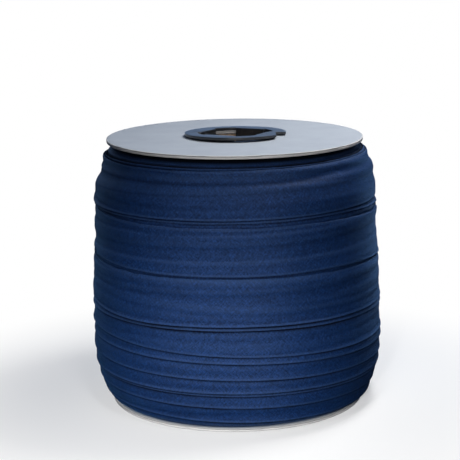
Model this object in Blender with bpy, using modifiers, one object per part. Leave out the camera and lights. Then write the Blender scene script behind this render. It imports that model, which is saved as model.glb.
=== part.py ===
"""A full reel of bias tape, standing on one of its two chipboard flanges.

Units are metres. +Z is up, the reel's axis is the Z axis, and z = 0 is the surface that the reel stands on.
Azimuths are in degrees, anticlockwise from +X as seen from above. The reel's front faces -Y.
"""

import math

import bmesh
import bpy
import numpy as np
from mathutils import Vector

# Reel
FLANGE_RADIUS = 0.0635
FLANGE_THICKNESS = 0.0019
REEL_HEIGHT = 0.1325
RIM_EASE = 0.0003
SEAT_GAP = 0.0003

# Core tube and the hole that the flanges share with it
BORE_RADIUS = 0.0189
TUBE_WALL = 0.0022
TUBE_RADIUS = BORE_RADIUS + TUBE_WALL

# Hub insert, a ring with four inward tabs, each with a finger down the tube
HUB_RADIUS = 0.0251
HUB_TOP = REEL_HEIGHT + 0.0018
WINDOW_RADIUS = 0.0187
TAB_COUNT = 4
TAB_FACE = 0.0152
TAB_HALF_ANGLE = 27.0
FIRST_TAB_AZIMUTH = 62.0
FINGER_DEPTH = 0.0160
FINGER_RADIUS = BORE_RADIUS - SEAT_GAP
FINGER_JOINT = 0.0006
NOTCH_SIDE = 0.0199
NOTCH_END = -0.0032
HUB_EDGE_ROUNDING = 0.0003

# Bias tape
TAPE_THICKNESS = 0.0006
EDGE_SLOPE = 0.0003
WINDING_BOTTOM = FLANGE_THICKNESS + SEAT_GAP
WINDING_TOP = REEL_HEIGHT - FLANGE_THICKNESS - SEAT_GAP
WINDING_BORE = TUBE_RADIUS + SEAT_GAP
STEP_FADE = 0.0025
MEAN_SHARE = 0.45

# The wound tape's mean outline: height in mm, then how far it stands out past the flange's rim in mm
WINDING_OUTLINE = (
    # height, past_rim
    (2.2, -0.6),
    (5.7, 3.4),
    (9.5, 5.3),
    (13.7, 6.8),
    (19.0, 8.3),
    (25.0, 9.2),
    (40.0, 9.1),
    (70.0, 8.2),
    (95.0, 7.0),
    (110.0, 5.7),
    (116.0, 4.4),
    (120.5, 2.9),
    (125.0, 1.1),
    (130.3, -1.2),
)

# The outer turns, wound upwards and clockwise from the back: height in mm of the tape's lower edge
# where each turn passes the reel's right, front and left
TURN_SIDES = (120.0, 180.0, 240.0)
OUTER_TURNS = (
    # right, front, left
    (2.2, 3.3, 3.9),
    (4.8, 6.0, 7.5),
    (12.0, 14.0, 14.3),
    (18.8, 20.1, 20.2),
    (20.4, 21.6, 21.3),
    (26.0, 28.3, 28.5),
    (33.3, 36.3, 36.7),
    (37.3, 39.3, 41.8),
    (50.7, 52.3, 51.0),
    (52.9, 54.2, 52.6),
    (77.4, 77.4, 76.8),
    (102.6, 101.9, 101.2),
    (104.1, 103.3, 102.6),
    (123.6, 123.9, 122.4),
    (126.4, 126.3, 126.0),
    (130.3, 130.3, 130.3),
)
TURN_SMOOTHING = 0.07
SMOOTHING_SAMPLES = 9

# How finely round shapes are divided
DISC_STEPS = 64
WINDING_STEPS = 64
ARC_STEP_ANGLE = 6.0
MERGE_DISTANCE = 0.00001


def clear_scene():
    for old in list(bpy.data.objects):
        bpy.data.objects.remove(old, do_unlink=True)


def collection(name):
    made = bpy.data.collections.new(name)
    bpy.context.scene.collection.children.link(made)
    return made


def material(name, colour, roughness, metallic=0.0):
    made = bpy.data.materials.new(name)
    made.use_nodes = True
    shader = made.node_tree.nodes["Principled BSDF"]
    shader.inputs["Base Color"].default_value = (*colour, 1.0)
    shader.inputs["Roughness"].default_value = roughness
    shader.inputs["Metallic"].default_value = metallic
    return made


def add_object(name, data, home, finish=None):
    made = bpy.data.objects.new(name, data)
    home.objects.link(made)
    if finish:
        data.materials.append(finish)
    return made


def mesh_from(bm, name, sharp_angle=30.0):
    mesh = bpy.data.meshes.new(name)
    bm.to_mesh(mesh)
    bm.free()
    mesh.shade_smooth()
    mesh.set_sharp_from_angle(angle=math.radians(sharp_angle))
    return mesh


def polar(radius, azimuth):
    angle = math.radians(azimuth)
    return Vector((radius * math.cos(angle), radius * math.sin(angle)))


def arc(radius, start, end):
    """Points on an arc about the axis, both ends included."""
    steps = max(1, round(abs(end - start) / ARC_STEP_ANGLE))
    return [polar(radius, start + (end - start) * i / steps) for i in range(steps + 1)]


# Turned pieces


def turned_piece(name, profile, home, finish):
    """A closed section, points of (radius, height), turned about the Z axis."""
    mesh = bpy.data.meshes.new(name)
    loop = [(i, (i + 1) % len(profile)) for i in range(len(profile))]
    mesh.from_pydata([(radius, 0.0, height) for radius, height in profile], loop, [])
    piece = add_object(name, mesh, home, finish)
    turn = piece.modifiers.new("Turn", "SCREW")
    turn.axis = "Z"
    turn.steps = turn.render_steps = DISC_STEPS
    turn.use_merge_vertices = True
    turn.merge_threshold = MERGE_DISTANCE
    return piece


def flange(name, underside, home, finish):
    """A chipboard disc with a centre hole. Its rim is a little crushed, so the corners are eased."""
    upper = underside + FLANGE_THICKNESS
    profile = [
        (BORE_RADIUS, upper),
        (FLANGE_RADIUS - RIM_EASE, upper),
        (FLANGE_RADIUS, upper - RIM_EASE),
        (FLANGE_RADIUS, underside + RIM_EASE),
        (FLANGE_RADIUS - RIM_EASE, underside),
        (BORE_RADIUS, underside),
    ]
    return turned_piece(name, profile, home, finish)


def core_tube(home, finish):
    upper = REEL_HEIGHT - FLANGE_THICKNESS - SEAT_GAP
    lower = FLANGE_THICKNESS + SEAT_GAP
    profile = [
        (BORE_RADIUS, upper),
        (TUBE_RADIUS, upper),
        (TUBE_RADIUS, lower),
        (BORE_RADIUS, lower),
    ]
    return turned_piece("core_tube", profile, home, finish)


# Hub insert


def hub_rim_outline():
    """The ring's outer edge, with one square-cornered notch at the right front."""
    step_out = math.degrees(math.asin(NOTCH_END / HUB_RADIUS))
    step_in = -math.degrees(math.acos(NOTCH_SIDE / HUB_RADIUS))
    return arc(HUB_RADIUS, step_out, 360.0 + step_in) + [Vector((NOTCH_SIDE, NOTCH_END))]


def hub_bore_outline():
    """Flat-faced tabs, with a window open to the tube's wall between each two."""
    turn = 360.0 / TAB_COUNT
    corner = TAB_FACE / math.cos(math.radians(TAB_HALF_ANGLE))
    outline = []
    for tab in range(TAB_COUNT):
        middle = FIRST_TAB_AZIMUTH + tab * turn
        outline.append(polar(corner, middle - TAB_HALF_ANGLE))
        outline.append(polar(corner, middle + TAB_HALF_ANGLE))
        outline += arc(WINDOW_RADIUS, middle + TAB_HALF_ANGLE, middle + turn - TAB_HALF_ANGLE)
    return outline


def finger_outline(middle):
    corner = TAB_FACE / math.cos(math.radians(TAB_HALF_ANGLE))
    return [
        polar(corner, middle + TAB_HALF_ANGLE),
        polar(corner, middle - TAB_HALF_ANGLE),
        *arc(FINGER_RADIUS, middle - TAB_HALF_ANGLE, middle + TAB_HALF_ANGLE),
    ]


def plate(name, outlines, lower, upper, home, finish=None):
    """A flat outline, with any holes as further outlines, filled and given a thickness, as a mesh."""
    flat = bpy.data.curves.new(name, "CURVE")
    flat.dimensions = "2D"
    flat.fill_mode = "BOTH"
    flat.extrude = (upper - lower) / 2
    for outline in outlines:
        spline = flat.splines.new("POLY")
        spline.points.add(len(outline) - 1)
        spline.use_cyclic_u = True
        for point, place in zip(spline.points, outline):
            point.co = (place.x, place.y, 0.0, 1.0)
    guide = add_object(name + "_outline", flat, home)
    guide.location.z = (upper + lower) / 2
    bpy.context.view_layer.update()
    solid = bpy.data.meshes.new_from_object(guide.evaluated_get(bpy.context.evaluated_depsgraph_get()))
    bm = bmesh.new()
    bm.from_mesh(solid)
    bmesh.ops.remove_doubles(bm, verts=bm.verts, dist=MERGE_DISTANCE)
    bmesh.ops.recalc_face_normals(bm, faces=bm.faces)
    bm.to_mesh(solid)
    bm.free()
    piece = add_object(name, solid, home, finish)
    piece.matrix_world = guide.matrix_world.copy()
    bpy.data.objects.remove(guide, do_unlink=True)
    return piece


def hub_insert(home, tools, finish):
    ring_lower = REEL_HEIGHT + SEAT_GAP
    hub = plate("hub_insert", [hub_rim_outline(), hub_bore_outline()], ring_lower, HUB_TOP, home, finish)
    for tab in range(TAB_COUNT):
        middle = FIRST_TAB_AZIMUTH + tab * 360.0 / TAB_COUNT
        finger = plate(
            f"finger_{tab + 1}",
            [finger_outline(middle)],
            REEL_HEIGHT - FINGER_DEPTH,
            ring_lower + FINGER_JOINT,
            tools,
        )
        finger.hide_render = True
        finger.display_type = "WIRE"
        join = hub.modifiers.new(finger.name, "BOOLEAN")
        join.operation = "UNION"
        join.solver = "EXACT"
        join.object = finger
    rounding = hub.modifiers.new("Moulded edges", "BEVEL")
    rounding.width = HUB_EDGE_ROUNDING
    rounding.segments = 1
    rounding.limit_method = "ANGLE"
    rounding.angle_limit = math.radians(50.0)
    return hub


# Tape winding


def outline_radius(height):
    """Mean radius of the wound tape at a height."""
    heights = [row[0] / 1000 for row in WINDING_OUTLINE]
    past_rim = [row[1] / 1000 for row in WINDING_OUTLINE]
    return FLANGE_RADIUS + float(np.interp(height, heights, past_rim))


def edge_height(turns):
    """Height of the tape's lower edge after this many turns from the back, clockwise."""
    passed = [turn + side / 360.0 for turn in range(len(OUTER_TURNS)) for side in TURN_SIDES]
    heights = [height / 1000 for row in OUTER_TURNS for height in row]
    nearby = turns + np.linspace(-TURN_SMOOTHING, TURN_SMOOTHING, SMOOTHING_SAMPLES)
    smooth = float(np.interp(nearby, passed, heights).mean())
    return min(max(smooth, WINDING_BOTTOM), WINDING_TOP)


def step_share(height):
    """A turn's step dies out where the tape tucks in against a flange."""
    room = min(height - WINDING_BOTTOM, WINDING_TOP - height)
    return min(1.0, max(0.0, room / STEP_FADE))


def section_rows(turn_share):
    """The winding's section at one side of the reel, as (radius, height) from the bore round to the bore."""
    rows = [(WINDING_BORE, WINDING_BOTTOM), (outline_radius(WINDING_BOTTOM), WINDING_BOTTOM)]
    for turn in range(len(OUTER_TURNS)):
        edge = edge_height(turn + turn_share)
        above = edge_height(turn + 1 + turn_share)
        step = TAPE_THICKNESS * step_share(edge)
        slope = EDGE_SLOPE * step_share(edge) / 2
        hidden = edge <= WINDING_BOTTOM
        middle = edge if hidden else (edge + above) / 2
        rows.append((outline_radius(edge) - MEAN_SHARE * step, edge - slope))
        rows.append((outline_radius(edge) + (1 - MEAN_SHARE) * step, edge + slope))
        rows.append((outline_radius(middle), middle))
    rows.append((outline_radius(WINDING_TOP), WINDING_TOP))
    rows.append((WINDING_BORE, WINDING_TOP))
    rows.append((WINDING_BORE, WINDING_BOTTOM))
    return rows


def tape_winding(home, finish):
    """A grid laid round the reel. Its last column meets its first one turn higher up, as the tape does."""
    columns = []
    for step in range(WINDING_STEPS + 1):
        share = step / WINDING_STEPS
        columns.append((90.0 - 360.0 * share, section_rows(share)))
    row_count = len(columns[0][1])
    bm = bmesh.new()
    bmesh.ops.create_grid(bm, x_segments=WINDING_STEPS, y_segments=row_count - 1, size=1.0)
    for vertex in bm.verts:
        azimuth, rows = columns[round((vertex.co.x + 1) / 2 * WINDING_STEPS)]
        radius, height = rows[round((vertex.co.y + 1) / 2 * (row_count - 1))]
        place = polar(radius, azimuth)
        vertex.co = (place.x, place.y, height)
    bmesh.ops.remove_doubles(bm, verts=bm.verts, dist=MERGE_DISTANCE)
    bmesh.ops.recalc_face_normals(bm, faces=bm.faces)
    return add_object("tape_winding", mesh_from(bm, "tape_winding", 35.0), home, finish)


def build():
    clear_scene()
    reel = collection("Reel of bias tape")
    tools = collection("Shapes joined to the hub")
    chipboard = material("grey_chipboard", (0.44, 0.47, 0.52), 0.85)
    lower_chipboard = material("grey_chipboard_lower", (0.44, 0.46, 0.49), 0.85)
    kraft = material("kraft_paper", (0.45, 0.26, 0.13), 0.8)
    plastic = material("black_plastic", (0.02, 0.025, 0.032), 0.4)
    cotton = material("navy_cotton", (0.012, 0.03, 0.092), 0.85)
    flange("bottom_flange", 0.0, reel, lower_chipboard)
    flange("top_flange", REEL_HEIGHT - FLANGE_THICKNESS, reel, chipboard)
    core_tube(reel, kraft)
    hub_insert(reel, tools, plastic)
    tape_winding(reel, cotton)


build()
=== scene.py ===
"""A full reel of navy bias tape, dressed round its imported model.

Units are metres. +Z is up, the reel's axis is the Z axis, and the front of the reel faces -Y.
Azimuths are anticlockwise from +X as seen from above.
"""

import math

import bmesh
import bpy
import numpy as np
from mathutils import Matrix, Vector


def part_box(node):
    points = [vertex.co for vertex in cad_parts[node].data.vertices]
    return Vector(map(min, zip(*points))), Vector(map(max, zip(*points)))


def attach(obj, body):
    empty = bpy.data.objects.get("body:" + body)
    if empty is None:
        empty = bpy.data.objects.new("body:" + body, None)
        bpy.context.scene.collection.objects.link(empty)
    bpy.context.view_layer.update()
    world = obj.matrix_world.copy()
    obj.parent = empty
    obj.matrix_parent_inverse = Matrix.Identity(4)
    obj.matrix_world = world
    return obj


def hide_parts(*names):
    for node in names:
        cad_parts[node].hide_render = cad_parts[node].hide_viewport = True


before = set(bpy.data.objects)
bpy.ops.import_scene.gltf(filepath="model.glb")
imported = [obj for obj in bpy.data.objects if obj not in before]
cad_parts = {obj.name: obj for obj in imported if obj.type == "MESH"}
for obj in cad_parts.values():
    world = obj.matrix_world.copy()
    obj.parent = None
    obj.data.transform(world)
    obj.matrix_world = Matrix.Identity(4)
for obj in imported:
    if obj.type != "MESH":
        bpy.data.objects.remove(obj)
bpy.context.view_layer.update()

# Core tube. Strips of kraft paper wound in a spiral and glued into a tube, then cut square at both ends.
# It carries the two flanges and the tape, and shows orange-brown through the windows of the hub.

tube_low, tube_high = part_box("core_tube")
TUBE_RADIUS = tube_high.x
TUBE_WALL = 0.0022
BORE_RADIUS = TUBE_RADIUS - TUBE_WALL
TUBE_END_EASE = 0.0002
TUBE_ROW = 0.0012
TUBE_STEPS = 128
PAPER_SEAM_PITCH = 0.058
PAPER_SEAM_DEPTH = 0.00018
PAPER_SEAM_WIDTH = 0.012
PLY_WANDER_SCALE = 2.6
RIM_GRAIN_SCALE = 420.0
WARP_SCALE = 0.9
FLECK_SHARE = 0.28
CLOUD_SCALE = 70.0
KRAFT_PAPER = (0.52, 0.38, 0.26)
KRAFT_DARK = (0.38, 0.26, 0.165)


def add_node(tree, kind, inputs=None, **settings):
    """A node with its settings made and its inputs given, each a value or another node's output."""
    made = tree.nodes.new(kind)
    for name, value in settings.items():
        setattr(made, name, value)
    for key, value in (inputs or {}).items():
        if isinstance(value, bpy.types.NodeSocket):
            tree.links.new(value, made.inputs[key])
        else:
            made.inputs[key].default_value = value
    return made


def maths(tree, operation, first, second=0.0, third=0.0):
    made = add_node(tree, "ShaderNodeMath", {0: first, 1: second, 2: third}, operation=operation)
    return made.outputs[0]


def product(tree, first, *others):
    for factor in others:
        first = maths(tree, "MULTIPLY", first, factor)
    return first


def held(tree, value, lowest, highest):
    """The value, kept between two limits."""
    return maths(tree, "MINIMUM", maths(tree, "MAXIMUM", value, lowest), highest)


def vector_maths(tree, operation, first, second=(0.0, 0.0, 0.0)):
    made = add_node(tree, "ShaderNodeVectorMath", {0: first, 1: second}, operation=operation)
    return made.outputs[0]


def new_tree(name, kind, inputs, outputs):
    """An empty node group with named inputs, each with its socket type and value, and named outputs."""
    tree = bpy.data.node_groups.new(name, kind)
    for label, socket_type, value in inputs:
        socket = tree.interface.new_socket(label, in_out="INPUT", socket_type=socket_type)
        if value is not None:
            socket.default_value = value
    for label, socket_type in outputs:
        tree.interface.new_socket(label, in_out="OUTPUT", socket_type=socket_type)
    entry = tree.nodes.new("NodeGroupInput").outputs
    result = tree.nodes.new("NodeGroupOutput").inputs
    return tree, entry, result


def set_input(modifier, label, value):
    for item in modifier.node_group.interface.items_tree:
        if item.item_type == "SOCKET" and item.in_out == "INPUT" and item.name == label:
            modifier[item.identifier] = value


def add_object(name, mesh):
    made = bpy.data.objects.new(name, mesh)
    bpy.context.scene.collection.objects.link(made)
    return made


def make_plain(piece):
    """Leaves the piece with the mesh that its modifiers make, and no modifiers."""
    bpy.context.view_layer.update()
    evaluated = piece.evaluated_get(bpy.context.evaluated_depsgraph_get())
    finished = bpy.data.meshes.new_from_object(evaluated)
    piece.modifiers.clear()
    piece.data = finished


def turned_piece_tree():
    """A closed section, drawn as radius and depth, turned round the Z axis and worn as paper wears."""
    tree, entry, result = new_tree(
        "Turned paper piece",
        "GeometryNodeTree",
        [
            ("Section", "NodeSocketGeometry", None),
            ("Steps", "NodeSocketInt", 128),
            ("Path Radius", "NodeSocketFloat", 0.02),
            ("Ply Wander", "NodeSocketFloat", 0.0),
            ("Rim Roughness", "NodeSocketFloat", 0.0),
            ("Warp", "NodeSocketFloat", 0.0),
            ("Seam Depth", "NodeSocketFloat", 0.0),
            ("Seam Pitch", "NodeSocketFloat", 0.05),
            ("Seam Width", "NodeSocketFloat", 0.01),
            ("Seed", "NodeSocketFloat", 0.0),
            ("Finish", "NodeSocketMaterial", None),
        ],
        [("Piece", "NodeSocketGeometry")],
    )
    outline = add_node(tree, "GeometryNodeMeshToCurve", {"Mesh": entry["Section"]})
    path = add_node(
        tree,
        "GeometryNodeCurvePrimitiveCircle",
        {"Resolution": entry["Steps"], "Radius": entry["Path Radius"]},
    )
    turned = add_node(
        tree,
        "GeometryNodeCurveToMesh",
        {"Curve": path.outputs["Curve"], "Profile Curve": outline.outputs["Curve"]},
    )
    place = tree.nodes.new("GeometryNodeInputPosition").outputs[0]
    flat = vector_maths(tree, "MULTIPLY", place, (1.0, 1.0, 0.0))
    outward = vector_maths(tree, "NORMALIZE", flat)
    radius = add_node(tree, "ShaderNodeVectorMath", {0: flat}, operation="LENGTH").outputs["Value"]

    def wander(vector, scale, detail):
        noise = add_node(
            tree,
            "ShaderNodeTexNoise",
            {"Vector": vector, "W": entry["Seed"], "Scale": scale, "Detail": detail},
            noise_dimensions="4D",
        )
        return maths(tree, "SUBTRACT", noise.outputs[0], 0.5)

    def mask(label):
        named = add_node(tree, "GeometryNodeInputNamedAttribute", {"Name": label}, data_type="FLOAT")
        return named.outputs["Attribute"]

    ply_shift = product(tree, wander(outward, PLY_WANDER_SCALE, 3.0), mask("ply_line"), entry["Ply Wander"])
    rim_shift = product(tree, wander(place, RIM_GRAIN_SCALE, 4.0), mask("rim"), entry["Rim Roughness"])
    warp_shift = product(tree, radius, radius, entry["Warp"], wander(outward, WARP_SCALE, 1.0))
    parts = add_node(tree, "ShaderNodeSeparateXYZ", {0: place})
    azimuth = maths(tree, "ARCTAN2", parts.outputs["Y"], parts.outputs["X"])
    climb = maths(tree, "DIVIDE", parts.outputs["Z"], entry["Seam Pitch"])
    along = maths(tree, "FRACT", maths(tree, "ADD", climb, maths(tree, "DIVIDE", azimuth, 2 * math.pi)))
    from_seam = maths(tree, "MINIMUM", maths(tree, "DIVIDE", along, entry["Seam Width"]), 1.0)
    lap = product(tree, maths(tree, "SUBTRACT", 1.0, from_seam), entry["Seam Depth"])
    raised = maths(tree, "ADD", rim_shift, lap)
    outward_shift = add_node(tree, "ShaderNodeVectorMath", {0: outward, "Scale": raised}, operation="SCALE")
    upward_shift = add_node(tree, "ShaderNodeCombineXYZ", {"Z": maths(tree, "ADD", ply_shift, warp_shift)})
    offset = vector_maths(tree, "ADD", outward_shift.outputs[0], upward_shift.outputs[0])
    worn = add_node(tree, "GeometryNodeSetPosition", {"Geometry": turned.outputs["Mesh"], "Offset": offset})
    real = add_node(tree, "GeometryNodeRealizeInstances", {"Geometry": worn.outputs["Geometry"]})
    dressed = add_node(
        tree, "GeometryNodeSetMaterial", {"Geometry": real.outputs["Geometry"], "Material": entry["Finish"]}
    )
    tree.links.new(dressed.outputs["Geometry"], result["Piece"])
    return tree


turned_piece_maker = turned_piece_tree()


def turned_piece(name, section, masks, finish, sharp_angle, **sizes):
    """Turns a section, points of (radius, height), and gives the plain piece."""
    path_radius = min(radius for radius, height in section) / 2
    mesh = bpy.data.meshes.new(name)
    points = [(radius - path_radius, -height, 0.0) for radius, height in section]
    count = len(points)
    mesh.from_pydata(points, [(i, (i + 1) % count) for i in range(count)], [])
    for label, values in masks.items():
        mesh.attributes.new(label, "FLOAT", "POINT").data.foreach_set("value", values)
    piece = add_object(name, mesh)
    turn = piece.modifiers.new("Turn", "NODES")
    turn.node_group = turned_piece_maker
    set_input(turn, "Path Radius", path_radius)
    set_input(turn, "Finish", finish)
    for label, value in sizes.items():
        set_input(turn, label.replace("_", " "), value)
    make_plain(piece)
    piece.data.shade_smooth()
    piece.data.set_sharp_from_angle(angle=math.radians(sharp_angle))
    return piece


def paper_fibres_group():
    """Matted fibres and darker flecks of recycled paper, for the kraft and the chipboard alike."""
    tree, entry, result = new_tree(
        "Paper fibres",
        "ShaderNodeTree",
        [
            ("Vector", "NodeSocketVector", None),
            ("Fibre Scale", "NodeSocketFloat", 900.0),
            ("Fleck Scale", "NodeSocketFloat", 260.0),
            ("Fleck Size", "NodeSocketFloat", 0.1),
        ],
        [("Fibre", "NodeSocketFloat"), ("Fleck", "NodeSocketFloat"), ("Cloud", "NodeSocketFloat")],
    )
    fibre = add_node(
        tree,
        "ShaderNodeTexNoise",
        {"Vector": entry["Vector"], "Scale": entry["Fibre Scale"], "Detail": 5.0, "Distortion": 2.2},
    )
    cloud = add_node(
        tree,
        "ShaderNodeTexNoise",
        {"Vector": entry["Vector"], "Scale": CLOUD_SCALE, "Detail": 4.0, "Roughness": 0.6},
    )
    cells = add_node(
        tree, "ShaderNodeTexVoronoi", {"Vector": entry["Vector"], "Scale": entry["Fleck Scale"]}, feature="F1"
    )
    drawn = add_node(tree, "ShaderNodeSeparateColor", {0: cells.outputs["Color"]}).outputs[0]
    chosen = maths(tree, "GREATER_THAN", drawn, 1.0 - FLECK_SHARE)
    from_fleck = maths(tree, "DIVIDE", cells.outputs["Distance"], entry["Fleck Size"])
    near = maths(tree, "SUBTRACT", 1.0, from_fleck)
    fleck = maths(tree, "MULTIPLY", maths(tree, "MAXIMUM", near, 0.0), chosen)
    tree.links.new(fibre.outputs[0], result["Fibre"])
    tree.links.new(fleck, result["Fleck"])
    tree.links.new(cloud.outputs[0], result["Cloud"])
    return tree


paper_fibres = paper_fibres_group()


def new_material(name, roughness, specular):
    made = bpy.data.materials.new(name)
    made.use_nodes = True
    shader = made.node_tree.nodes["Principled BSDF"]
    shader.inputs["Roughness"].default_value = roughness
    shader.inputs["Specular IOR Level"].default_value = specular
    return made, made.node_tree, shader


def place_group(tree, group, inputs):
    return add_node(tree, "ShaderNodeGroup", inputs, node_tree=group).outputs


def blend_colours(tree, share, first, second):
    """Mixes two colours, each three numbers or another node's output."""
    given = {0: share, 6: first, 7: second}
    inputs = {key: (*value, 1.0) if isinstance(value, tuple) else value for key, value in given.items()}
    made = add_node(tree, "ShaderNodeMix", inputs, data_type="RGBA")
    return made.outputs[2]


def add_bump(tree, shader, height, distance, strength=1.0):
    bump = add_node(tree, "ShaderNodeBump", {"Height": height, "Distance": distance, "Strength": strength})
    tree.links.new(bump.outputs["Normal"], shader.inputs["Normal"])


def kraft_material():
    made, tree, shader = new_material("Kraft paper", 0.8, 0.25)
    place = tree.nodes.new("ShaderNodeTexCoord").outputs["Object"]
    paper = place_group(tree, paper_fibres, {"Vector": place, "Fibre Scale": 700.0, "Fleck Scale": 330.0})
    colour = blend_colours(tree, paper["Fibre"], KRAFT_DARK, KRAFT_PAPER)
    flecked = blend_colours(tree, paper["Fleck"], colour, KRAFT_DARK)
    tree.links.new(flecked, shader.inputs["Base Color"])
    add_bump(tree, shader, paper["Fibre"], 0.00008)
    return made


def tube_section():
    """The tube's wall, with rows close enough together to carry the spiral seam."""
    rows = round((tube_high.z - tube_low.z) / TUBE_ROW)
    heights = np.linspace(tube_low.z + TUBE_END_EASE, tube_high.z - TUBE_END_EASE, rows)
    outside = [(TUBE_RADIUS, float(height)) for height in heights]
    inside = [(BORE_RADIUS, float(height)) for height in heights[::-1]]
    upper_end = [(TUBE_RADIUS - TUBE_END_EASE, tube_high.z), (BORE_RADIUS + TUBE_END_EASE, tube_high.z)]
    lower_end = [(BORE_RADIUS + TUBE_END_EASE, tube_low.z), (TUBE_RADIUS - TUBE_END_EASE, tube_low.z)]
    return outside + upper_end + inside + lower_end


core_tube = turned_piece(
    "kraft_core_tube",
    tube_section(),
    {},
    kraft_material(),
    sharp_angle=40.0,
    Steps=TUBE_STEPS,
    Seam_Depth=PAPER_SEAM_DEPTH,
    Seam_Pitch=PAPER_SEAM_PITCH,
    Seam_Width=PAPER_SEAM_WIDTH,
)
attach(core_tube, "root")
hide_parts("core_tube")

# Flanges. Two round discs punched from grey chipboard of two plies, each with a hole of the tube's bore.
# They are glued to the tube's ends. The punch and the shelf have roughened and crushed their rims.

FLANGE_STEPS = 360
FACE_RINGS = 9
RIM_CRUSH = 0.0003
RIM_BEND = 0.0016
PLY_SHARE = 0.66
PLY_GROOVE = 0.00024
PLY_GROOVE_HALF_WIDTH = 0.00012
CUT_LAYERS = (140.0, 140.0, 2600.0)
CHIPBOARD_FACE = (0.345, 0.376, 0.421)
CHIPBOARD_SHADE = (0.297, 0.327, 0.371)
CHIPBOARD_FLECK = (0.3, 0.31, 0.33)
CHIPBOARD_CUT = (0.72, 0.705, 0.7)
CHIPBOARD_CUT_SHADE = (0.46, 0.46, 0.46)
PLY_LINE_DARK = (0.09, 0.09, 0.09)


def chipboard_material():
    made, tree, shader = new_material("Grey chipboard", 0.88, 0.2)
    place = tree.nodes.new("ShaderNodeTexCoord").outputs["Object"]
    paper = place_group(tree, paper_fibres, {"Vector": place, "Fibre Scale": 620.0, "Fleck Scale": 190.0})
    cloud = maths(tree, "MULTIPLY_ADD", paper["Cloud"], 1.6, -0.3)
    clouded = blend_colours(tree, cloud, CHIPBOARD_SHADE, CHIPBOARD_FACE)
    face = blend_colours(tree, maths(tree, "MULTIPLY", paper["Fleck"], 0.8), clouded, CHIPBOARD_FLECK)

    # On the cut edge the fibres lie in thin layers
    layers = add_node(tree, "ShaderNodeMapping", {"Vector": place, "Scale": CUT_LAYERS})
    strata = add_node(tree, "ShaderNodeTexNoise", {"Vector": layers.outputs[0], "Scale": 1.0, "Detail": 4.0})
    stripe = maths(tree, "MULTIPLY_ADD", strata.outputs[0], 2.2, -0.6)
    cut = blend_colours(tree, stripe, CHIPBOARD_CUT_SHADE, CHIPBOARD_CUT)
    # The ply line mask is full in the groove between the plies and partly raised over the upper ply, so the
    # cut edge grows darker towards its top
    ply_line = add_node(tree, "ShaderNodeAttribute", attribute_name="ply_line").outputs["Fac"]
    glued = blend_colours(tree, ply_line, cut, PLY_LINE_DARK)
    cut_edge = add_node(tree, "ShaderNodeAttribute", attribute_name="cut_edge").outputs["Fac"]
    tree.links.new(blend_colours(tree, cut_edge, face, glued), shader.inputs["Base Color"])
    rough = maths(tree, "ADD", paper["Fibre"], maths(tree, "MULTIPLY", strata.outputs[0], cut_edge))
    add_bump(tree, shader, rough, 0.0001, 0.7)
    return made


def flange_section(node):
    """The disc's section from the hole over the upper face to the rim, and back along the underside."""
    low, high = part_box(node)
    rim = high.x
    ply = low.z + PLY_SHARE * (high.z - low.z)
    rows = []

    def add(radius, height, cut_edge=0.0, ply_line=0.0, rough=0.0):
        rows.append((radius, height, cut_edge, ply_line, rough))

    for radius in np.linspace(BORE_RADIUS + RIM_CRUSH, rim - RIM_BEND, FACE_RINGS):
        add(float(radius), high.z)
    add(rim - 0.45 * RIM_BEND, high.z - 0.05 * RIM_CRUSH, rough=0.3)
    add(rim - RIM_CRUSH, high.z - 0.3 * RIM_CRUSH, 0.2, rough=0.7)
    add(rim - 0.2 * RIM_CRUSH, high.z - 1.0 * RIM_CRUSH, 1.0, 0.12, rough=1.0)
    add(rim, (high.z + ply) / 2, 1.0, 0.3, rough=1.0)
    add(rim, ply + PLY_GROOVE_HALF_WIDTH, 1.0, 0.5, 1.0)
    add(rim - PLY_GROOVE, ply + 0.3 * PLY_GROOVE_HALF_WIDTH, 1.0, 1.0, 0.4)
    add(rim - PLY_GROOVE, ply - 0.3 * PLY_GROOVE_HALF_WIDTH, 1.0, 1.0, 0.4)
    add(rim, ply - PLY_GROOVE_HALF_WIDTH, 1.0, 0.15, 1.0)
    add(rim, (low.z + ply) / 2, 1.0, rough=1.0)
    add(rim - 0.3 * RIM_CRUSH, low.z + 0.8 * RIM_CRUSH, 1.0, rough=1.0)
    add(rim - RIM_CRUSH, low.z + 0.2 * RIM_CRUSH, 0.4, rough=0.7)
    for radius in np.linspace(rim - RIM_BEND, BORE_RADIUS + RIM_CRUSH, FACE_RINGS):
        add(float(radius), low.z)
    add(BORE_RADIUS, low.z + RIM_CRUSH, 1.0, rough=0.5)
    add(BORE_RADIUS, ply - PLY_GROOVE_HALF_WIDTH, 1.0)
    add(BORE_RADIUS + 0.5 * PLY_GROOVE, ply, 1.0, 0.7)
    add(BORE_RADIUS, ply + PLY_GROOVE_HALF_WIDTH, 1.0)
    add(BORE_RADIUS, high.z - RIM_CRUSH, 1.0, rough=0.5)
    section = [row[:2] for row in rows]
    masks = {
        "cut_edge": [row[2] for row in rows],
        "ply_line": [row[3] for row in rows],
        "rim": [row[4] for row in rows],
    }
    return section, masks


chipboard = chipboard_material()
FLANGE_WEAR = {
    # node: wander of the ply line, roughness of the rim, warp of the disc, seed
    "bottom_flange": (0.0011, 0.0004, 0.0, 4.0),
    "top_flange": (0.0018, 0.0005, 0.07, 17.0),
}
for node, (ply_wander, rim_roughness, warp, seed) in FLANGE_WEAR.items():
    flange_outline, flange_masks = flange_section(node)
    flange = turned_piece(
        "chipboard_" + node,
        flange_outline,
        flange_masks,
        chipboard,
        sharp_angle=50.0,
        Steps=FLANGE_STEPS,
        Ply_Wander=ply_wander,
        Rim_Roughness=rim_roughness,
        Warp=warp,
        Seed=seed,
    )
    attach(flange, "root")
    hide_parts(node)

# Hub insert. One black plastic moulding: a ring with a notch, and four tabs with fingers down the tube.
# It is pushed into the upper end by hand and sits a little askew, its front side high.

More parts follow.
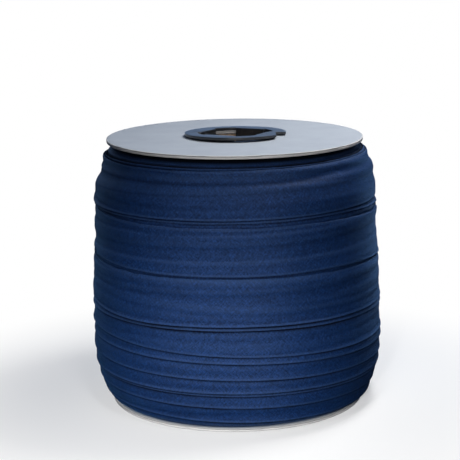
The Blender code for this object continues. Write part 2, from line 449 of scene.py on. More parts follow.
hub_low, hub_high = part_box("hub_insert")
flange_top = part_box("top_flange")[1].z
HUB_RADIUS = hub_high.x
HUB_RING_THICKNESS = 0.0012
WINDOW_RADIUS = 0.0187
TAB_COUNT = 4
TAB_FACE = 0.0152
TAB_HALF_ANGLE = 27.0
TAB_CORNER_RADIUS = TAB_FACE / math.cos(math.radians(TAB_HALF_ANGLE))
FIRST_TAB_AZIMUTH = 62.0
FINGER_RADIUS = BORE_RADIUS - 0.0004
FINGER_JOINT = 0.0006
NOTCH_SIDE = 0.0199
NOTCH_END = -0.0032
HUB_TILT = 1.5
HUB_SHIFT = 0.0004
HUB_EDGE_ROUNDING = 0.00032
HUB_ARC_STEP = 2.5
MERGE_DISTANCE = 0.00001
HUB_BLACK = (0.014, 0.016, 0.02)
HUB_SCUFF = (0.06, 0.062, 0.066)


def polar(radius, azimuth):
    angle = math.radians(azimuth)
    return Vector((radius * math.cos(angle), radius * math.sin(angle)))


def arc(radius, start, end):
    """Points on an arc about the axis, both ends included."""
    steps = max(1, round(abs(end - start) / HUB_ARC_STEP))
    return [polar(radius, start + (end - start) * i / steps) for i in range(steps + 1)]


def hub_rim_outline():
    """The ring's outer edge, with one square-cornered notch at the right front."""
    step_out = math.degrees(math.asin(NOTCH_END / HUB_RADIUS))
    step_in = -math.degrees(math.acos(NOTCH_SIDE / HUB_RADIUS))
    return arc(HUB_RADIUS, step_out, 360.0 + step_in) + [Vector((NOTCH_SIDE, NOTCH_END))]


def hub_bore_outline():
    """Flat-faced tabs, with a window open to the tube's wall between each two."""
    turn = 360.0 / TAB_COUNT
    outline = []
    for tab in range(TAB_COUNT):
        middle = FIRST_TAB_AZIMUTH + tab * turn
        outline.append(polar(TAB_CORNER_RADIUS, middle - TAB_HALF_ANGLE))
        outline.append(polar(TAB_CORNER_RADIUS, middle + TAB_HALF_ANGLE))
        outline += arc(WINDOW_RADIUS, middle + TAB_HALF_ANGLE, middle + turn - TAB_HALF_ANGLE)
    return outline


def finger_outline(middle):
    return [
        polar(TAB_CORNER_RADIUS, middle + TAB_HALF_ANGLE),
        polar(TAB_CORNER_RADIUS, middle - TAB_HALF_ANGLE),
        *arc(FINGER_RADIUS, middle - TAB_HALF_ANGLE, middle + TAB_HALF_ANGLE),
    ]


def plate(name, outlines, lower, upper):
    """A flat outline, with any holes as further outlines, filled and given a thickness, as a mesh."""
    flat = bpy.data.curves.new(name, "CURVE")
    flat.dimensions = "2D"
    flat.fill_mode = "BOTH"
    flat.extrude = (upper - lower) / 2
    for outline in outlines:
        spline = flat.splines.new("POLY")
        spline.points.add(len(outline) - 1)
        spline.use_cyclic_u = True
        for point, place in zip(spline.points, outline):
            point.co = (place.x, place.y, 0.0, 1.0)
    guide = add_object(name + "_outline", flat)
    bpy.context.view_layer.update()
    solid = bpy.data.meshes.new_from_object(guide.evaluated_get(bpy.context.evaluated_depsgraph_get()))
    bpy.data.objects.remove(guide, do_unlink=True)
    solid.transform(Matrix.Translation((0.0, 0.0, (upper + lower) / 2)))
    bm = bmesh.new()
    bm.from_mesh(solid)
    bmesh.ops.remove_doubles(bm, verts=bm.verts, dist=MERGE_DISTANCE)
    bmesh.ops.recalc_face_normals(bm, faces=bm.faces)
    bm.to_mesh(solid)
    bm.free()
    return add_object(name, solid)


def hub_material():
    made, tree, shader = new_material("Black moulded plastic", 0.42, 0.85)
    place = tree.nodes.new("ShaderNodeTexCoord").outputs["Object"]
    grain = add_node(tree, "ShaderNodeTexNoise", {"Vector": place, "Scale": 1900.0, "Detail": 2.0})
    scuffs = add_node(
        tree, "ShaderNodeTexNoise", {"Vector": place, "Scale": 160.0, "Detail": 6.0, "Distortion": 1.0}
    )
    worn = maths(tree, "MAXIMUM", maths(tree, "MULTIPLY_ADD", scuffs.outputs[0], 4.0, -2.3), 0.0)
    tree.links.new(blend_colours(tree, worn, HUB_BLACK, HUB_SCUFF), shader.inputs["Base Color"])
    rough = maths(tree, "MULTIPLY_ADD", scuffs.outputs[0], 0.25, 0.28)
    tree.links.new(rough, shader.inputs["Roughness"])
    add_bump(tree, shader, grain.outputs[0], 0.00003, 0.6)
    return made


hub = plate(
    "plastic_hub_insert",
    [hub_rim_outline(), hub_bore_outline()],
    flange_top,
    flange_top + HUB_RING_THICKNESS,
)
fingers = []
for tab in range(TAB_COUNT):
    tab_middle = FIRST_TAB_AZIMUTH + tab * 360.0 / TAB_COUNT
    finger = plate(f"finger_{tab + 1}", [finger_outline(tab_middle)], hub_low.z, flange_top + FINGER_JOINT)
    fingers.append(finger)
    join = hub.modifiers.new(finger.name, "BOOLEAN")
    join.operation = "UNION"
    join.solver = "EXACT"
    join.object = finger
rounding = hub.modifiers.new("Moulded edges", "BEVEL")
rounding.width = HUB_EDGE_ROUNDING
rounding.segments = 3
rounding.limit_method = "ANGLE"
rounding.angle_limit = math.radians(50.0)
make_plain(hub)
for finger in fingers:
    bpy.data.objects.remove(finger, do_unlink=True)
hub.data.materials.clear()
hub.data.materials.append(hub_material())
hub_pivot = Matrix.Translation((HUB_SHIFT, -HUB_RADIUS, flange_top + HUB_RADIUS * math.radians(2 * HUB_TILT)))
tilt = Matrix.Rotation(-math.radians(HUB_TILT), 4, "X")
hub.data.transform(hub_pivot @ tilt @ Matrix.Translation((0.0, HUB_RADIUS, -flange_top)))
hub.data.shade_smooth()
hub.data.set_sharp_from_angle(angle=math.radians(40.0))
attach(hub, "root")
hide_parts("hub_insert")

# Deeper tape. Most of the reel's 133 m of tape lies out of sight under the last two layers.
# It is one turned body here, and the outer layers are laid on it turn by turn.

winding_low, winding_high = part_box("tape_winding")
FLANGE_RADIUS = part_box("top_flange")[1].x
SEAT_GAP = 0.0003
TAPE_WIDTH = 0.0222
TURN_AIR = 0.00006
ROW_STEP = 0.0002
STEPS_PER_TURN = 200

# The wound tape's mean outline: height in mm, then how far it stands out past the flange's rim in mm
WINDING_OUTLINE = (
    # height, past_rim
    (2.2, -0.6),
    (5.7, 3.1),
    (9.5, 4.8),
    (13.7, 6.2),
    (19.0, 7.4),
    (25.0, 8.5),
    (33.0, 8.9),
    (40.0, 8.6),
    (50.0, 8.5),
    (60.0, 8.5),
    (70.0, 8.3),
    (84.0, 7.0),
    (95.0, 6.8),
    (110.0, 6.35),
    (113.0, 5.4),
    (115.5, 4.5),
    (117.0, 4.5),
    (119.0, 3.9),
    (121.0, 1.6),
    (122.3, 1.0),
    (124.8, 0.85),
    (126.4, -0.3),
    (127.9, -1.3),
    (128.5, -6.0),
    (130.3, -6.0),
)
OUTLINE_EASE = 0.0008

# The turns of the last two layers in the order in which they were wound, clockwise from the back:
# height in mm of the tape's lower edge as it passes the right, the front and the left, how far in mm
# its lower and upper edges stand off the turn below, and its folded thickness in mm
TURN_SIDES = (120.0, 180.0, 240.0)
INNER_LAYER = (
    # right, front, left, lower_gap, upper_gap, thickness
    (106.8, 106.8, 106.8, 0.05, 0.1, 0.4),
    (106.6, 106.7, 106.4, 0.05, 0.05, 0.3),
    (104.5, 104.2, 104.0, 0.05, 0.4, 0.45),
    (94.8, 93.4, 91.0, 0.1, 0.05, 0.45),
    (74.9, 73.8, 71.4, 0.1, 0.05, 0.36),
    (62.1, 61.5, 59.6, 0.1, 0.05, 0.36),
    (50.3, 49.3, 47.3, 0.05, 0.05, 0.2),
    (42.3, 41.3, 39.8, 0.05, 0.05, 0.2),
    (33.8, 32.8, 31.3, 0.05, 0.05, 0.2),
    (24.8, 22.8, 20.8, 0.05, 0.05, 0.2),
    (13.8, 12.3, 10.8, 0.05, 0.05, 0.2),
    (4.8, 3.6, 2.8, 0.05, 0.05, 0.3),
)
OUTER_LAYER = (
    # right, front, left, lower_gap, upper_gap, thickness
    (2.4, 3.3, 3.9, 0.1, 0.05, 0.36),
    (4.8, 6.0, 7.5, 0.35, 0.05, 0.4),
    (12.0, 14.0, 14.3, 0.2, 0.05, 0.36),
    (18.8, 20.1, 20.2, 0.25, 0.05, 0.36),
    (20.4, 21.6, 21.3, 0.15, 0.05, 0.3),
    (26.0, 28.3, 28.5, 0.15, 0.05, 0.36),
    (33.3, 36.3, 36.7, 0.15, 0.05, 0.36),
    (37.3, 39.3, 41.8, 0.2, 0.05, 0.36),
    (50.7, 52.3, 51.0, 0.4, 0.05, 0.4),
    (52.9, 54.2, 52.6, 0.3, 0.05, 0.36),
    (77.4, 77.4, 76.8, 0.05, 0.1, 0.45),
    (102.6, 101.9, 101.2, 0.12, 0.15, 0.4),
    (104.1, 103.3, 102.6, 0.08, 0.2, 0.36),
)
turns = INNER_LAYER + OUTER_LAYER
TURN_SMOOTHING = 0.07
EDGE_FADE = 0.0007
FOLD_BEAD = 0.00006
FOLD_BEAD_PLACE = 0.0008
FOLD_BEAD_WIDTH = 0.0007
RAW_EDGE_GAP = 0.00004
RAW_EDGE_GAP_WIDTH = 0.0008
BEND_RATE = 120.0
SETTLE_REACH = 16
ACROSS_STEP = 0.00025
ACROSS_MARGIN = 0.003
BODY_STEPS = 160
BODY_ROWS = 120
BUILD_ROUNDS = 3
MEAN_REACH = 20
RIPPLE = 0.00005
PRESSED_SPAN = 4

# The tape below leaves a ledge near the top: degrees travelled from the back, and its height there in mm
LEDGE = (
    (0.0, 114.0),
    (90.0, 117.4),
    (120.0, 116.9),
    (180.0, 115.3),
    (240.0, 112.8),
    (270.0, 110.9),
    (360.0, 114.0),
)
LEDGE_DEPTH = 0.0018
LEDGE_EASE = 0.0005
LEDGE_CREASE = 0.004

# How far the winding lies to the right of the reel's axis, in mm, at heights in mm
OFF_CENTRE = (
    (0.0, 0.3),
    (60.0, 0.1),
    (111.0, 0.0),
    (115.0, -0.6),
    (119.0, 0.2),
    (121.5, -0.1),
    (122.6, 1.4),
    (125.3, 3.6),
    (126.4, 1.8),
    (127.0, 0.1),
)

steps = np.arange(len(turns) * STEPS_PER_TURN + 1)
travelled = steps / STEPS_PER_TURN
sides_passed = np.array([turn + side / 360.0 for turn in range(len(turns)) for side in TURN_SIDES])
edge_listed = np.array([row[:3] for row in turns]).ravel() / 1000
nearby = np.linspace(-TURN_SMOOTHING, TURN_SMOOTHING, 9)


def along_tape(listed):
    return np.mean([np.interp(travelled + shift, sides_passed, listed) for shift in nearby], axis=0)


lower_edge = along_tape(edge_listed)
lower_gap = along_tape(np.repeat([row[3] for row in turns], 3) / 1000)
upper_gap = along_tape(np.repeat([row[4] for row in turns], 3) / 1000)
thickness = along_tape(np.repeat([row[5] for row in turns], 3) / 1000)[:, None]
across = np.arange(-ACROSS_MARGIN, TAPE_WIDTH + ACROSS_MARGIN, ACROSS_STEP)
row_heights = np.arange(winding_low.z - ACROSS_MARGIN, winding_high.z + ACROSS_MARGIN, ROW_STEP)
waviness = np.random.default_rng(12)


def outline_radius(height):
    heights = [row[0] / 1000 for row in WINDING_OUTLINE]
    past_rim = [row[1] / 1000 for row in WINDING_OUTLINE]
    eased = np.add.outer(np.asarray(height), np.linspace(-OUTLINE_EASE, OUTLINE_EASE, 7))
    rough = np.interp(eased, heights, past_rim)
    return FLANGE_RADIUS + rough.mean(axis=-1)


def read_rows(rows, start, spacing, wanted):
    """Values at the wanted places, one row of them for each row of evenly spaced values."""
    at = (wanted - start) / spacing
    low = np.clip(np.floor(at).astype(int), 0, rows.shape[1] - 2)
    share = np.clip(at - low, 0.0, 1.0)
    row = np.arange(len(rows))[:, None]
    return rows[row, low] * (1 - share) + rows[row, low + 1] * share


def smooth_wave(along, wavelengths):
    """A gentle wave of about one unit that never quite repeats."""
    wave = np.zeros_like(along)
    for wavelength in wavelengths:
        wave += np.sin(2 * math.pi * along / wavelength + waviness.uniform(0.0, 2 * math.pi))
    return wave / math.sqrt(len(wavelengths))


def settle(support):
    """How stiff folded cloth lies on a stepped support: it touches the high places and spans the low ones."""
    rested = support.copy()
    for shift in range(1, SETTLE_REACH + 1):
        drop = BEND_RATE * (shift * ACROSS_STEP) ** 2
        rested[:, shift:] = np.maximum(rested[:, shift:], support[:, :-shift] - drop)
        rested[:, :-shift] = np.maximum(rested[:, :-shift], support[:, shift:] - drop)
    for _ in range(2):
        rested[:, 1:-1] = (rested[:, :-2] + 2 * rested[:, 1:-1] + rested[:, 2:]) / 4
    return np.maximum(rested, support)


# Uneven winding along the tape, as waves with their lengths in turns
edge_wave = 1.0 + 0.45 * smooth_wave(travelled, (0.83, 0.37, 0.21, 0.13))
upper_wave = 1.0 + 0.5 * smooth_wave(travelled, (0.71, 0.43, 0.19, 0.11))
ripple_rate = smooth_wave(travelled, (0.31, 0.17, 0.094, 0.061))
ripple_lean = smooth_wave(travelled, (0.27, 0.15, 0.083, 0.052))
lower_lift = lower_gap * np.clip(edge_wave, 0.1, 2.0)
upper_lift = upper_gap * np.clip(upper_wave, 0.0, 2.0)


def fold_relief(place):
    """What the folds add to the face: a bead along each edge, and a faint dip where the raw edges meet."""
    from_edge = np.minimum(place, TAPE_WIDTH - place)
    bead = FOLD_BEAD * np.exp(-(((from_edge - FOLD_BEAD_PLACE) / FOLD_BEAD_WIDTH) ** 2))
    dip = RAW_EDGE_GAP * np.exp(-(((place - TAPE_WIDTH / 2) / RAW_EDGE_GAP_WIDTH) ** 2))
    return bead - dip


def lay_turns(deep_relief):
    """Lays the turns one after another. Relief is measured outwards from the mean outline."""
    relief = deep_relief.copy()
    undersides = np.empty((len(steps), len(across)))
    half_turn = STEPS_PER_TURN // 2
    for start in range(0, len(steps), half_turn):
        block = steps[start : start + half_turn]
        columns = block % STEPS_PER_TURN
        edge = lower_edge[block][:, None]
        support = read_rows(relief[columns], row_heights[0], ROW_STEP, edge + across)
        rested = settle(support)
        rested += lower_lift[block][:, None] * np.exp(-np.abs(across) / EDGE_FADE)
        rested += upper_lift[block][:, None] * np.exp(-np.abs(TAPE_WIDTH - across) / EDGE_FADE)
        lean = (across / TAPE_WIDTH - 0.5)[None, :]
        rested += RIPPLE * (1.0 + ripple_rate[block][:, None] + lean * ripple_lean[block][:, None])
        undersides[block] = rested
        faces = rested + thickness[block] + TURN_AIR + fold_relief(across)
        beyond = row_heights[None, :] - edge
        covered = (beyond > 0.0) & (beyond < TAPE_WIDTH)
        laid = read_rows(faces, across[0], ACROSS_STEP, beyond)
        relief[columns] = np.where(covered, np.maximum(relief[columns], laid), relief[columns])
    return relief, undersides


round_reel = np.arange(STEPS_PER_TURN) / STEPS_PER_TURN
ledge_travel, ledge_heights = zip(*LEDGE)
ledge_height = np.interp(round_reel * 360.0, ledge_travel, ledge_heights)[:, None] / 1000
below_ledge = np.clip(0.5 - (row_heights[None, :] - ledge_height) / (2 * LEDGE_EASE), 0.0, 1.0)
off_centre_heights, off_centre = np.array(OFF_CENTRE).T / 1000
to_the_right = np.interp(row_heights, off_centre_heights, off_centre)[None, :]
deep_relief = LEDGE_DEPTH * below_ledge + to_the_right * np.sin(2 * math.pi * round_reel)[:, None]
mean_window = np.full(2 * MEAN_REACH + 1, 1 / (2 * MEAN_REACH + 1))
for _ in range(BUILD_ROUNDS):
    finished_relief, undersides = lay_turns(deep_relief)
    excess = np.convolve(np.pad(finished_relief.mean(axis=0), MEAN_REACH, "edge"), mean_window, "valid")
    deep_relief = deep_relief - excess
finished_relief, undersides = lay_turns(deep_relief)

# How sharply the finished surface bends, in mm: above nought at the foot of a step, below nought at its lip
pressed = np.zeros_like(finished_relief)
pressed[:, PRESSED_SPAN:-PRESSED_SPAN] = 1000 * (
    finished_relief[:, 2 * PRESSED_SPAN :]
    + finished_relief[:, : -2 * PRESSED_SPAN]
    - 2 * finished_relief[:, PRESSED_SPAN:-PRESSED_SPAN]
)


SLUB_WIDTH = 1.3


def weave_group():
    """Plain weave, one thread over and one under, with slubs along the threads. It reads metres along and
    across the tape, and turns them by 45 degrees because bias tape is cut slantwise."""
    tree, entry, result = new_tree(
        "Bias cut plain weave",
        "ShaderNodeTree",
        [
            ("Vector", "NodeSocketVector", None),
            ("Thread Pitch", "NodeSocketFloat", 0.00036),
            ("Slub Length", "NodeSocketFloat", 11.0),
        ],
        [("Height", "NodeSocketFloat"), ("Slub", "NodeSocketFloat")],
    )
    parts = add_node(tree, "ShaderNodeSeparateXYZ", {0: entry["Vector"]})
    diagonal = maths(tree, "MULTIPLY", entry["Thread Pitch"], math.sqrt(2.0))
    warp = maths(tree, "DIVIDE", maths(tree, "ADD", parts.outputs["X"], parts.outputs["Y"]), diagonal)
    weft = maths(tree, "DIVIDE", maths(tree, "SUBTRACT", parts.outputs["X"], parts.outputs["Y"]), diagonal)

    def half_wave(position):
        return maths(tree, "SINE", maths(tree, "MULTIPLY", maths(tree, "FRACT", position), math.pi))

    warp_round = half_wave(warp)
    weft_round = half_wave(weft)
    counted = maths(tree, "ADD", maths(tree, "FLOOR", warp), maths(tree, "FLOOR", weft))
    over = maths(tree, "GREATER_THAN", maths(tree, "FRACT", maths(tree, "MULTIPLY", counted, 0.5)), 0.25)
    warp_on_top = maths(tree, "MULTIPLY", warp_round, maths(tree, "MULTIPLY_ADD", weft_round, 0.5, 0.5))
    weft_on_top = maths(tree, "MULTIPLY", weft_round, maths(tree, "MULTIPLY_ADD", warp_round, 0.5, 0.5))
    tops = {0: over, 2: weft_on_top, 3: warp_on_top}
    height = add_node(tree, "ShaderNodeMix", tops, data_type="FLOAT").outputs[0]

    def slubs(warp_scale, weft_scale):
        sizes = {"X": maths(tree, "DIVIDE", warp, warp_scale), "Y": maths(tree, "DIVIDE", weft, weft_scale)}
        stretched = add_node(tree, "ShaderNodeCombineXYZ", sizes).outputs[0]
        noise = add_node(tree, "ShaderNodeTexNoise", {"Vector": stretched, "Scale": 1.0, "Detail": 2.0})
        return noise.outputs[0]

    warp_slub = slubs(SLUB_WIDTH, entry["Slub Length"])
    weft_slub = slubs(entry["Slub Length"], SLUB_WIDTH)
    slub = maths(tree, "MULTIPLY", maths(tree, "ADD", warp_slub, weft_slub), 0.5)
    tree.links.new(height, result["Height"])
    tree.links.new(slub, result["Slub"])
    return tree


plain_weave = weave_group()
NAVY = (0.0046, 0.0235, 0.098)
NAVY_DEEP = (0.0017, 0.01, 0.044)
NAVY_THREAD = (0.011, 0.047, 0.175)
NAVY_PALE = (0.04, 0.085, 0.2)
NAVY_PAINTED_SHADE = (0.0004, 0.0009, 0.003)
NAVY_LUSTRE = (0.8, 0.9, 1.0)
NAVY_SHEEN = (0.12, 0.45, 1.0)
DYE_SCALE = 55.0
GRAIN_SCALE = 1250.0
FLUFF_SCALE = 800.0
# Painted shade beside each covering edge, and painted shadow high under the flange
CREASE_OFFSET = 0.2
CREASE_WIDTH = 0.55
CREASE_WIDENING = 0.35
CREASE_SCALE = 120.0
PAINTED_SHADE_DARKEST = 0.97
SHADED_HEIGHT = 0.1279
SHADED_EASE = 0.0007
# Painted shade at the foot and painted highlight at the lip of each step under the cloth
FOOT_SHADE = 0.7
FOOT_DARKEST = 0.6
LIP_HIGHLIGHT_STRENGTH = 1.3
LIP_HIGHLIGHT_PALEST = 0.22


def tape_material():
    made, tree, shader = new_material("Navy cotton", 0.5, 0.18)
    shader.inputs["Sheen Weight"].default_value = 0.06
    shader.inputs["Sheen Roughness"].default_value = 0.3
    shader.inputs["Sheen Tint"].default_value = (*NAVY_SHEEN, 1.0)
    shader.inputs["Specular Tint"].default_value = (*NAVY_LUSTRE, 1.0)
    on_tape = add_node(tree, "ShaderNodeUVMap", uv_map="Tape").outputs[0]
    weave = place_group(tree, plain_weave, {"Vector": on_tape})
    place = tree.nodes.new("ShaderNodeTexCoord").outputs["Object"]

    def noise(scale, detail):
        made = add_node(tree, "ShaderNodeTexNoise", {"Vector": place, "Scale": scale, "Detail": detail})
        return made.outputs[0]

    def attribute(name):
        return add_node(tree, "ShaderNodeAttribute", attribute_name=name).outputs["Fac"]

    # The dye takes unevenly, single threads are lighter, and a little fluff stands on the cloth
    dyed = blend_colours(tree, noise(DYE_SCALE, 3.0), NAVY_DEEP, NAVY)
    slub = maths(tree, "MULTIPLY_ADD", weave["Slub"], 5.0, -2.0)
    threads = blend_colours(tree, held(tree, slub, 0.0, 1.0), dyed, NAVY_THREAD)
    grain = maths(tree, "MULTIPLY_ADD", noise(GRAIN_SCALE, 2.0), 3.2, -0.9)
    grained = blend_colours(tree, held(tree, grain, 0.0, 1.0), NAVY_DEEP, threads)
    # The hollows of the weave are darkened with painted shade
    dip = product(tree, maths(tree, "SUBTRACT", 1.0, weave["Height"]), 0.4)
    shaded = blend_colours(tree, dip, grained, NAVY_DEEP)
    fluff = maths(tree, "MULTIPLY_ADD", noise(FLUFF_SCALE, 3.0), 6.0, -3.9)
    fluffy = blend_colours(tree, product(tree, maths(tree, "MAXIMUM", fluff, 0.0), 0.45), shaded, NAVY_PALE)

    # Where an edge lies under the cloth, the lip of the step gets a painted highlight and its foot painted
    # shade
    step = attribute("pressed")
    foot = held(tree, product(tree, step, FOOT_SHADE), 0.0, FOOT_DARKEST)
    lip = held(tree, product(tree, step, -LIP_HIGHLIGHT_STRENGTH), 0.0, LIP_HIGHLIGHT_PALEST)
    lip_highlighted = blend_colours(tree, lip, fluffy, NAVY_PALE)

    # Beside the folded edge that covers it, the cloth dips into a narrow gap, darkened there with painted
    # shade, and above a set height under the flange it is darkened with painted shadow
    gap = attribute("cover_gap")
    width = maths(tree, "MULTIPLY_ADD", gap, CREASE_WIDENING, CREASE_WIDTH)
    spread = maths(tree, "DIVIDE", maths(tree, "ADD", attribute("from_cover"), CREASE_OFFSET), width)
    crease = maths(tree, "EXPONENT", product(tree, spread, spread, -1.0))
    unevenness = maths(tree, "MULTIPLY_ADD", noise(CREASE_SCALE, 2.0), 0.9, 0.65)
    depth = product(tree, maths(tree, "POWER", gap, 0.3), unevenness)
    height = add_node(tree, "ShaderNodeSeparateXYZ", {0: place}).outputs["Z"]
    flange_shadow = maths(tree, "DIVIDE", maths(tree, "SUBTRACT", height, SHADED_HEIGHT), SHADED_EASE)
    darkest_shade = maths(tree, "MAXIMUM", product(tree, crease, depth), maths(tree, "MAXIMUM", flange_shadow, foot))
    painted_shade = maths(tree, "MINIMUM", darkest_shade, PAINTED_SHADE_DARKEST)
    tree.links.new(blend_colours(tree, painted_shade, lip_highlighted, NAVY_PAINTED_SHADE), shader.inputs["Base Color"])
    tree.links.new(maths(tree, "MULTIPLY_ADD", painted_shade, 0.5, 0.5), shader.inputs["Roughness"])
    raised = maths(tree, "ADD", weave["Height"], product(tree, weave["Slub"], 1.5))
    add_bump(tree, shader, raised, 0.00009, 0.8)
    return made


navy_cotton = tape_material()
body_heights = np.linspace(winding_low.z, winding_high.z, BODY_ROWS)
body_radii = outline_radius(body_heights) + np.interp(body_heights, row_heights, deep_relief.min(axis=0))
body_bore = TUBE_RADIUS + SEAT_GAP
body_section = [(body_bore, winding_high.z), (body_bore, winding_low.z)]
body_section += [(float(radius), float(height)) for radius, height in zip(body_radii, body_heights)]
deep_tape = turned_piece(
    "deeper_tape",
    body_section[::-1],
    {},
    navy_cotton,
    sharp_angle=60.0,
    Steps=BODY_STEPS,
)
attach(deep_tape, "root")
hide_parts("tape_winding")

# Outer layers of tape. Cotton cut on the bias, folded to 22 mm and wound down the reel, then up over that.
# Each turn lies on the ones before it, so their folded edges show as lines round the reel.

FACE_POINTS = 42
FACE_CROWDING = 1.45
BACK_POINTS = 9
FOLD_POINTS = 5
FOLD_ROUND = 0.0002
MEAN_TAPE_RADIUS = 0.0705
REEL_GIRTH = 2 * math.pi * MEAN_TAPE_RADIUS
WIDEST_GAP = 0.0004

fold_angles = np.linspace(-90.0, 90.0, FOLD_POINTS + 2)[1:-1]
crowded = np.sin(np.linspace(-FACE_CROWDING, FACE_CROWDING, FACE_POINTS)) / math.sin(FACE_CROWDING)
face_places = TAPE_WIDTH / 2 + crowded * (TAPE_WIDTH / 2 - FOLD_ROUND)
back_places = np.linspace(TAPE_WIDTH - FOLD_ROUND, FOLD_ROUND, BACK_POINTS)
fold_reach = FOLD_ROUND * (1 - np.cos(np.radians(fold_angles)))
fold_share = 0.5 + 0.5 * np.sin(np.radians(fold_angles))
section_places = np.concatenate([face_places, TAPE_WIDTH - fold_reach[::-1], back_places, fold_reach])
section_shares = np.concatenate([np.ones(FACE_POINTS), fold_share[::-1], np.zeros(BACK_POINTS), fold_share])


def covering_edge(chosen, descending):
    """Height at which turns wound later cover each place on the tape, or else where the ledge bends it."""
    later = chosen + STEPS_PER_TURN * np.arange(1, len(turns))[:, None]
    edges = np.where(later < len(steps), lower_edge[np.minimum(later, len(steps) - 1)], np.nan)
    if descending:
        return np.fmax.reduce(edges, axis=0) + TAPE_WIDTH
    ledge = np.interp(chosen % STEPS_PER_TURN, round_reel * STEPS_PER_TURN, ledge_height[:, 0])
    return np.where(np.isnan(edges[0]), ledge, np.fmin.reduce(edges, axis=0))


def tape_strip(name, first_turn, last_turn, stride, descending):
    """The folded tape between two turns, as a closed strip. Its UV map is metres along and across."""
    chosen = steps[first_turn * STEPS_PER_TURN : last_turn * STEPS_PER_TURN + 1 : stride]
    rested = read_rows(undersides[chosen], across[0], ACROSS_STEP, np.tile(section_places, (len(chosen), 1)))
    heights = np.minimum(lower_edge[chosen][:, None] + section_places, winding_high.z)
    relief = rested + section_shares * (thickness[chosen] + fold_relief(section_places))
    radii = outline_radius(heights) + relief
    angles = math.pi / 2 - 2 * math.pi * travelled[chosen][:, None]
    places = np.stack([radii * np.cos(angles), radii * np.sin(angles), heights], axis=-1).reshape(-1, 3)
    count = len(section_places)
    ring = np.arange(count)
    ahead = np.roll(ring, -1)
    start = np.arange(len(chosen) - 1)[:, None] * count
    quads = np.stack([start + ring, start + ahead, start + count + ahead, start + count + ring], axis=-1)
    faces = quads.reshape(-1, 4).tolist()
    last_ring = (len(chosen) - 1) * count + ring
    faces += [ring[::-1].tolist(), last_ring.tolist()]
    mesh = bpy.data.meshes.new(name)
    mesh.from_pydata(places.tolist(), [], faces)
    along = np.repeat(travelled[chosen] * REEL_GIRTH, count)
    metres = np.stack([along, np.tile(section_places, len(chosen))], axis=-1)
    corners = np.empty(len(mesh.loops), np.int32)
    mesh.loops.foreach_get("vertex_index", corners)
    mesh.uv_layers.new(name="Tape").data.foreach_set("uv", metres[corners].ravel())
    from_cover = (heights - covering_edge(chosen, descending)[:, None]).ravel() * 1000
    mesh.attributes.new("from_cover", "FLOAT", "POINT").data.foreach_set("value", from_cover)
    bends = read_rows(pressed[chosen % STEPS_PER_TURN], row_heights[0], ROW_STEP, heights)
    mesh.attributes.new("pressed", "FLOAT", "POINT").data.foreach_set("value", bends.ravel())
    # How strong the painted shade beside the covering edge is; near the end of the tape it marks the ledge
    following = np.minimum(chosen + STEPS_PER_TURN, len(steps) - 1)
    gap = (upper_gap if descending else lower_lift)[following] / WIDEST_GAP
    gap[chosen > len(steps) - STEPS_PER_TURN] = LEDGE_CREASE
    mesh.attributes.new("cover_gap", "FLOAT", "POINT").data.foreach_set("value", np.repeat(gap, count))
    mesh.materials.append(navy_cotton)
    mesh.shade_smooth()
    return add_object(name, mesh)


layer_turn = len(INNER_LAYER)
OUTER_SPLIT = layer_turn + 7
TAPE_STRETCHES = {
    # name: first turn, last turn, steps taken at a time, whether wound downwards
    "tape_inner_layer": (0, layer_turn, 2, True),
    "tape_outer_layer_lower": (layer_turn, OUTER_SPLIT, 1, False),
    "tape_outer_layer_upper": (OUTER_SPLIT, len(turns), 1, False),
}
for stretch, (first_turn, last_turn, stride, descending) in TAPE_STRETCHES.items():
    strip = tape_strip(stretch, first_turn, last_turn, stride, descending)
    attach(strip, "root")
    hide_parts("tape_winding")

# The place for the picture: a plain pale floor that fades to a white room, soft studio lights,
# and the camera at the photograph's angle.

FLOOR_HALF_SIZE = 6.0
FLOOR_COLOUR = (0.5, 0.5, 0.5)
FLOOR_GLOW = (0.45, 0.45, 0.45)
FLOOR_FADE_START = 0.08
FLOOR_FADE_END = 0.2
ROOM_COLOUR = (0.01, 0.015, 0.03)
BACKDROP_COLOUR = (0.32, 0.51, 0.87)
BELOW_COLOUR = (0.015, 0.015, 0.02)
BACKDROP_SPAN = (0.3, 0.85)
HORIZON_SPAN = (-0.12, 0.02)
ROOM_STRENGTH = 0.88
CAMERA_PLACE = (0.0, -0.7439, 0.2412)
CAMERA_PITCH = 11.893
CAMERA_ROLL = -0.7357
CAMERA_LENS = 118.23
CAMERA_SHIFT = -0.01244

floor_mesh = bpy.data.meshes.new("floor")
corners = [(-FLOOR_HALF_SIZE, -FLOOR_HALF_SIZE), (FLOOR_HALF_SIZE, -FLOOR_HALF_SIZE)]
corners += [(FLOOR_HALF_SIZE, FLOOR_HALF_SIZE), (-FLOOR_HALF_SIZE, FLOOR_HALF_SIZE)]
floor_mesh.from_pydata([(x, y, 0.0) for x, y in corners], [], [(0, 1, 2, 3)])
floor = add_object("floor", floor_mesh)
floor_material, floor_tree, floor_shader = new_material("Pale floor", 0.9, 0.0)
floor_place = floor_tree.nodes.new("ShaderNodeTexCoord").outputs["Object"]
from_reel = add_node(floor_tree, "ShaderNodeVectorMath", {0: floor_place}, operation="LENGTH")
fade = add_node(
    floor_tree,
    "ShaderNodeMapRange",
    {"Value": from_reel.outputs["Value"], "From Min": FLOOR_FADE_START, "From Max": FLOOR_FADE_END},
    interpolation_type="SMOOTHSTEP",
).outputs[0]
floor_colour = blend_colours(floor_tree, fade, FLOOR_COLOUR, (0.0, 0.0, 0.0))
floor_tree.links.new(floor_colour, floor_shader.inputs["Base Color"])
floor_glow = blend_colours(floor_tree, fade, FLOOR_GLOW, (1.0, 1.0, 1.0))
floor_tree.links.new(floor_glow, floor_shader.inputs["Emission Color"])
floor_shader.inputs["Emission Strength"].default_value = 1.0
floor_mesh.materials.append(floor_material)
floor.visible_diffuse = False
floor.visible_glossy = False

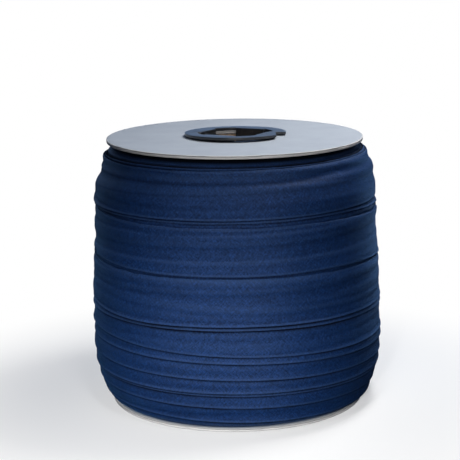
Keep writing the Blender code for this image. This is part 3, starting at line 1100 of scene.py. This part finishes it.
SOFT_LIGHTS = {
    # name: place, size, power, colour
    "low_front": ((0.03, -0.323, 0.03), 0.1, 0.1, (1.0, 0.99, 0.97)),
    "close_front": ((0.015, -0.199, 0.05), 0.06, 0.035, (1.0, 0.99, 0.97)),
    "middle_front": ((0.01, -0.155, 0.158), 0.05, 0.02, (1.0, 0.99, 0.97)),
    "right_front": ((0.19, -0.27, 0.28), 0.1, 0.075, (1.0, 1.0, 1.0)),
    "right_rear": ((0.19, 0.17, 0.045), 0.1, 0.055, (0.25, 0.5, 1.0)),
    "left_rear": ((-0.19, 0.19, 0.045), 0.1, 0.018, (0.2, 0.5, 1.0)),
    "high_front": ((0.0, -0.24, 0.4), 0.06, 0.28, (1.0, 1.0, 1.0)),
    "overhead": ((0.12, 0.02, 0.37), 0.1, 0.86, (1.0, 0.99, 0.97)),
}
LOW_SPOT_PLACE = (-0.25, -1.25, 0.4)
LOW_SPOT_AIM = (-0.025, -0.07, 0.014)
LOW_SPOT_POWER = 210.0
LOW_SPOT_CONE = 6.0
LOW_SPOT_SIZE = 0.08
reel_middle = Vector((0.0, 0.0, tube_high.z / 2))
for name, (place, size, power, colour) in SOFT_LIGHTS.items():
    lamp = bpy.data.lights.new(name, "AREA")
    lamp.shape = "DISK"
    lamp.size = size
    lamp.energy = power
    lamp.color = colour
    light = add_object(name, lamp)
    light.location = place
    light.rotation_euler = (reel_middle - Vector(place)).to_track_quat("-Z", "Y").to_euler()
    light.visible_camera = False
low_lamp = bpy.data.lights.new("low_spot", "SPOT")
low_lamp.energy = LOW_SPOT_POWER
low_lamp.spot_size = math.radians(LOW_SPOT_CONE)
low_lamp.spot_blend = 1.0
low_lamp.shadow_soft_size = LOW_SPOT_SIZE
low_spot = add_object("low_spot", low_lamp)
low_spot.location = LOW_SPOT_PLACE
low_spot.rotation_euler = (Vector(LOW_SPOT_AIM) - Vector(LOW_SPOT_PLACE)).to_track_quat("-Z", "Y").to_euler()

world = bpy.data.worlds.new("White room")
bpy.context.scene.world = world
world.use_nodes = True
room = world.node_tree
background = room.nodes["Background"]
direction = room.nodes.new("ShaderNodeTexCoord").outputs["Generated"]
towards = add_node(room, "ShaderNodeSeparateXYZ", {0: direction})


def room_share(value, lowest, highest):
    spread = {"Value": value, "From Min": lowest, "From Max": highest}
    return add_node(room, "ShaderNodeMapRange", spread, interpolation_type="SMOOTHSTEP").outputs[0]


backdrop_share = room_share(towards.outputs["Y"], *BACKDROP_SPAN)
room_side = blend_colours(room, backdrop_share, ROOM_COLOUR, BACKDROP_COLOUR)
above_floor = room_share(towards.outputs["Z"], *HORIZON_SPAN)
room_colour = blend_colours(room, above_floor, BELOW_COLOUR, room_side)
room.links.new(room_colour, background.inputs["Color"])
background.inputs["Strength"].default_value = ROOM_STRENGTH
seen = add_node(room, "ShaderNodeBackground", {"Color": (1.0, 1.0, 1.0, 1.0), "Strength": 1.0})
camera_rays = room.nodes.new("ShaderNodeLightPath").outputs["Is Camera Ray"]
choice = add_node(room, "ShaderNodeMixShader", {0: camera_rays, 1: background.outputs[0], 2: seen.outputs[0]})
room.links.new(choice.outputs[0], room.nodes["World Output"].inputs["Surface"])

bpy.context.scene.view_settings.view_transform = "Standard"

camera_data = bpy.data.cameras.new("Camera")
camera_data.lens = CAMERA_LENS
camera_data.shift_x = CAMERA_SHIFT
camera_data.clip_start = 0.05
camera = add_object("Camera", camera_data)
level = Matrix.Rotation(math.radians(90.0 - CAMERA_PITCH), 4, "X")
roll = Matrix.Rotation(math.radians(CAMERA_ROLL), 4, "Z")
camera.matrix_world = Matrix.Translation(CAMERA_PLACE) @ level @ roll
bpy.context.scene.camera = camera
